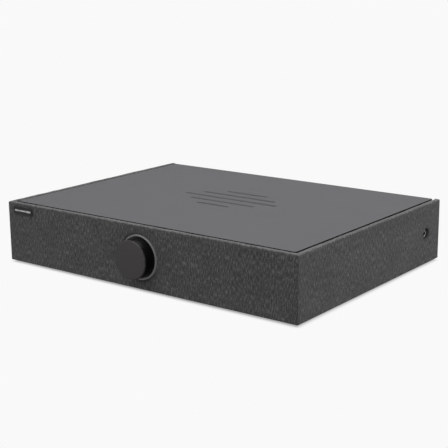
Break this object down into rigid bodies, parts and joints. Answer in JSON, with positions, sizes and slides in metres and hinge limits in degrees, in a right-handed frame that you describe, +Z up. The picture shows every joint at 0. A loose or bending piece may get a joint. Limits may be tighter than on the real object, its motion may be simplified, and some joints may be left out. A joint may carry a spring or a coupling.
{
  "type": "integrated amplifier",
  "caption": "Low fabric-wrapped one-piece stereo amplifier with built-in speakers, a flat grey top plate and a large front volume knob.",
  "frame": {"origin": "on the table under the middle of the object's overall box, at the height of the feet's undersides", "axes": "+X to the object's right side, +Y to its back, +Z up; the knob faces -Y"},
  "size_m": [0.46, 0.3542, 0.0825],
  "materials": {
    "charcoal_fabric": "heather woven speaker cloth, matt",
    "grey_plate": "satin grey powder coat on sheet aluminium",
    "raw_board": "bare medium-density fibreboard",
    "black_board": "fibreboard with black paint",
    "black_plastic": "fine-textured moulding",
    "knob_grey": "dark anodised look, satin face and dark side",
    "frosted_ring": "frosted light guide",
    "pad_foam": "thin closed-cell pad",
    "black_rubber": "moulded rubber",
    "bright_steel": "plated sheet steel",
    "black_steel": "fine black powder coat",
    "gilt_brass": "gold-flashed",
    "aluminium": "extruded, matt",
    "magnet_ferrite": "ferrite between steel plates",
    "cone_black": "pulp and polymer cone",
    "circuit_board": "solder-masked laminate",
    "moulded_component": "wound component in tape and resin",
    "capacitor_sleeve": "shrink sleeve over an aluminium can",
    "wire_jacket": "insulated wire"
  },
  "bodies": {
    "cabinet": {"bottom_panel": "black_board", "left_side_panel": "raw_board", "right_side_panel": "raw_board", "front_baffle": "raw_board", "left_rear_panel": "black_board", "right_rear_panel": "black_board", "left_chamber_wall": "raw_board", "right_chamber_wall": "raw_board", "lid_board": "black_board", "isolation_pad": "pad_foam", "top_plate": "grey_plate", "fabric_wrap": "charcoal_fabric", "grille_frame": "black_plastic", "badge": "black_plastic", "foot_front_left": "black_rubber", "foot_front_right": "black_rubber", "foot_rear_left": "black_rubber", "foot_rear_right": "black_rubber", "light_ring": "frosted_ring", "knob_dish": "black_plastic", "control_board": "circuit_board", "encoder_body": "bright_steel", "left_woofer_basket": "black_steel", "right_woofer_basket": "black_steel", "left_woofer_surround": "black_rubber", "right_woofer_surround": "black_rubber", "left_woofer_magnet": "magnet_ferrite", "right_woofer_magnet": "magnet_ferrite", "left_tweeter_body": "black_plastic", "right_tweeter_body": "black_plastic", "left_tweeter_dome": "cone_black", "right_tweeter_dome": "cone_black", "left_port_tube": "black_plastic", "right_port_tube": "black_plastic", "left_speaker_lead": "wire_jacket", "right_speaker_lead": "wire_jacket", "chassis_tray": "bright_steel", "amplifier_board": "circuit_board", "power_supply_board": "circuit_board", "heat_sink": "aluminium", "wireless_module": "bright_steel", "phono_stage_shield": "bright_steel", "mains_transformer": "moulded_component", "filter_capacitor": "capacitor_sleeve", "io_plate": "black_steel", "jack_block": "black_plastic", "ground_post": "gilt_brass", "mains_inlet": "black_plastic", "power_switch_frame": "black_plastic", "input_switch_body": "bright_steel", "headphone_cup": "black_plastic", "headphone_jack": "bright_steel"},
    "push_stem": {"push_plunger": "black_plastic"},
    "knob": {"encoder_shaft": "aluminium", "volume_knob": "knob_grey"},
    "left_cone": {"left_woofer_cone": "cone_black"},
    "right_cone": {"right_woofer_cone": "cone_black"},
    "thumb_nut": {"ground_thumb_nut": "gilt_brass"},
    "rocker": {"power_rocker": "black_plastic"},
    "input_slider": {"input_slider": "black_plastic"}
  },
  "joints": [
    {"name": "knob_push", "type": "slide", "parent": "cabinet", "child": "push_stem", "axis": [0, 1, 0], "range_m": [0, 0.0005], "stiffness_N_per_m": 2500, "springref_m": -0.0006},
    {"name": "knob_turn", "type": "hinge", "parent": "push_stem", "child": "knob", "pos_m": [0, -0.1609, 0.0425], "axis": [0, -1, 0], "continuous": true},
    {"name": "left_cone_travel", "type": "slide", "parent": "cabinet", "child": "left_cone", "axis": [0, 1, 0], "range_m": [-0.002, 0.002], "stiffness_N_per_m": 1200},
    {"name": "right_cone_travel", "type": "slide", "parent": "cabinet", "child": "right_cone", "axis": [0, 1, 0], "range_m": [-0.002, 0.002], "stiffness_N_per_m": 1200},
    {"name": "power_rocker_tilt", "type": "hinge", "parent": "cabinet", "child": "rocker", "pos_m": [0.04, 0.1601, 0.038], "axis": [1, 0, 0], "range_deg": [0, 16]},
    {"name": "input_select", "type": "slide", "parent": "cabinet", "child": "input_slider", "axis": [1, 0, 0], "range_m": [0, 0.004]},
    {"name": "ground_nut_turn", "type": "hinge", "parent": "cabinet", "child": "thumb_nut", "pos_m": [-0.066, 0.1673, 0.038], "axis": [0, 1, 0], "range_deg": [0, 1080]}
  ]
}
